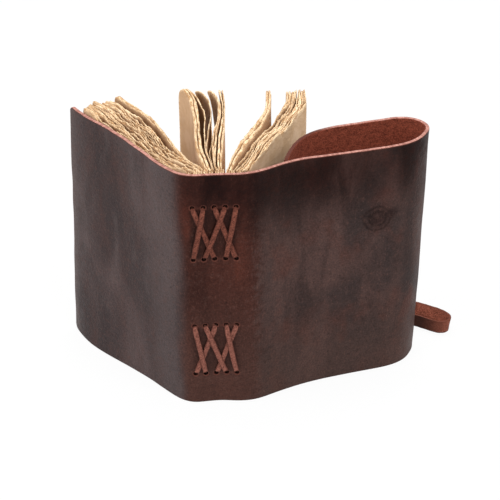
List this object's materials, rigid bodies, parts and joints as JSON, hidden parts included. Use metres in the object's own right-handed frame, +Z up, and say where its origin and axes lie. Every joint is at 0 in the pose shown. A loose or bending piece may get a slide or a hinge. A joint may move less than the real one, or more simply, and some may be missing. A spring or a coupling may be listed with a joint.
{
  "type": "leather wrap journal",
  "caption": "Hand-bound leather wrap journal with deckle-edge pages, laced spine, fold-over flap and tie strap, standing open.",
  "frame": {"origin": "foot of the spine, at the middle of its width and of the leather's thickness, on the plane the journal stands on", "axes": "+Z up along the spine, +X along the open width towards the back cover and flap, +Y towards the fore-edges of the pages"},
  "size_m": [0.2754, 0.1512, 0.178],
  "materials": {
    "leather": "waxed pull-up, satin, scuffed",
    "paper": "matt handmade cotton paper with torn deckle edges",
    "suede_lace": "matt suede"
  },
  "bodies": {
    "spine": {"spine_panel": "leather", "text_block": "paper", "upper_lace": "suede_lace", "lower_lace": "suede_lace"},
    "front_cover": {"front_cover": "leather"},
    "back_cover": {"back_cover": "leather"},
    "flap": {"flap": "leather", "tie_knot": "suede_lace", "tie_strap": "suede_lace", "tie_coil": "suede_lace"}
  },
  "joints": [
    {"name": "front_cover_hinge", "type": "hinge", "parent": "spine", "child": "front_cover", "pos_m": [-0.01929, -0.00054, 0], "axis": [0, 0, 1], "range_deg": [-41, 48], "deforming": ["text_block"]},
    {"name": "back_cover_hinge", "type": "hinge", "parent": "spine", "child": "back_cover", "pos_m": [0.01978, 0.0009, 0], "axis": [0, 0, 1], "range_deg": [-23, 62], "deforming": ["text_block", "tie_strap", "tie_coil"]},
    {"name": "flap_hinge", "type": "hinge", "parent": "back_cover", "child": "flap", "pos_m": [0.13634, 0.05007, 0], "axis": [0, 0, 1], "range_deg": [-150, 0], "deforming": ["text_block", "tie_strap", "tie_coil"]}
  ]
}
